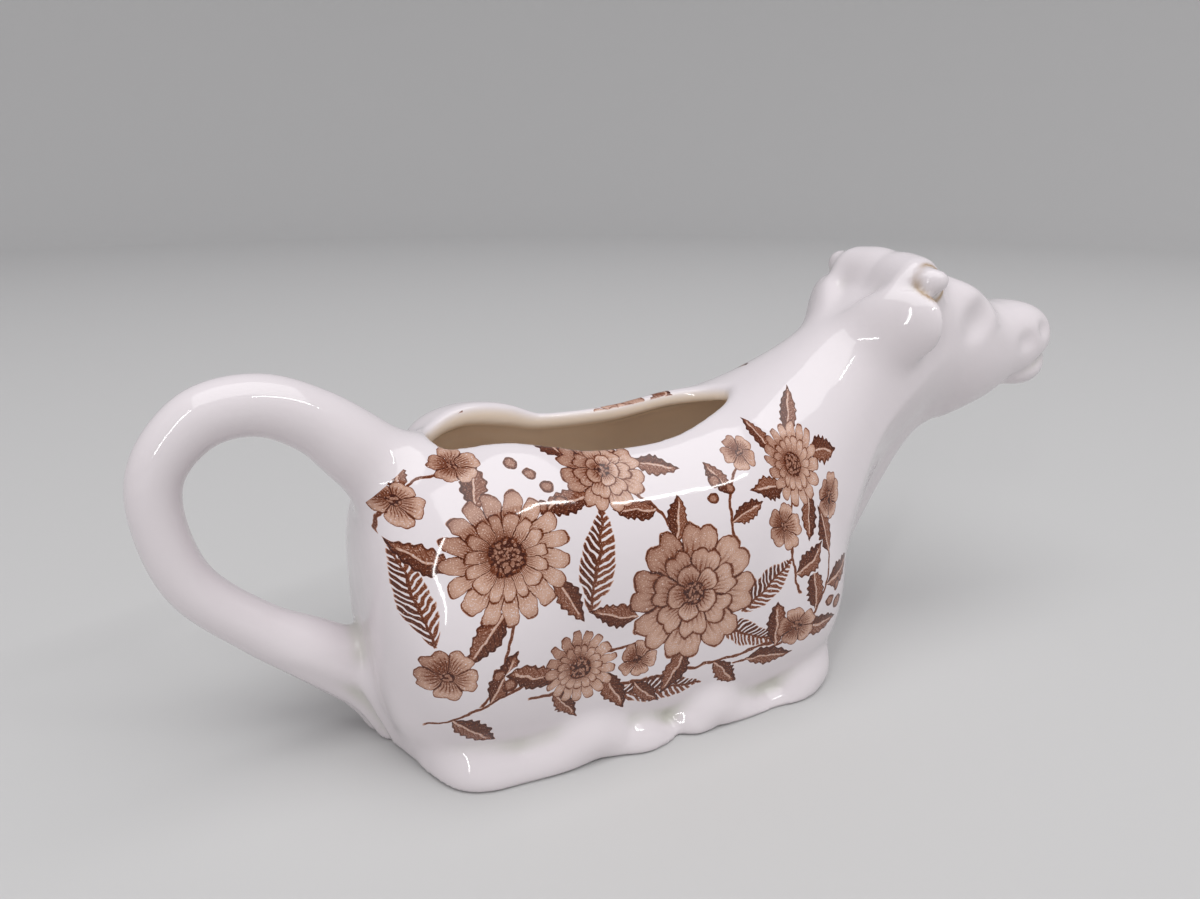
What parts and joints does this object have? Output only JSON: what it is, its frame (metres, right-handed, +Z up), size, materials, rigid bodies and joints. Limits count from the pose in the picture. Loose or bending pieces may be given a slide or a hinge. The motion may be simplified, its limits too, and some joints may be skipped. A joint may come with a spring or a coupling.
{
  "type": "milk jug",
  "caption": "Glazed earthenware milk jug in the form of a lying cow, filled through the open back, poured from the mouth and held by the looped tail.",
  "frame": {"origin": "on the table, under the middle of the body", "axes": "+X towards the muzzle, +Y towards the cow's left side, +Z up"},
  "size_m": [0.1759, 0.0512, 0.0748],
  "materials": {
    "printed_glaze": "glossy clear glaze over white earthenware with a brown floral transfer print",
    "white_glaze": "glossy clear glaze over white earthenware"
  },
  "bodies": {
    "root": {"body_shell": "printed_glaze", "head_shell": "white_glaze", "tail_handle": "white_glaze", "right_ear": "white_glaze", "right_horn": "white_glaze", "right_foreleg": "white_glaze", "right_hind_leg": "white_glaze", "left_ear": "white_glaze", "left_horn": "white_glaze", "left_foreleg": "white_glaze", "left_hind_leg": "white_glaze"}
  },
  "joints": []
}
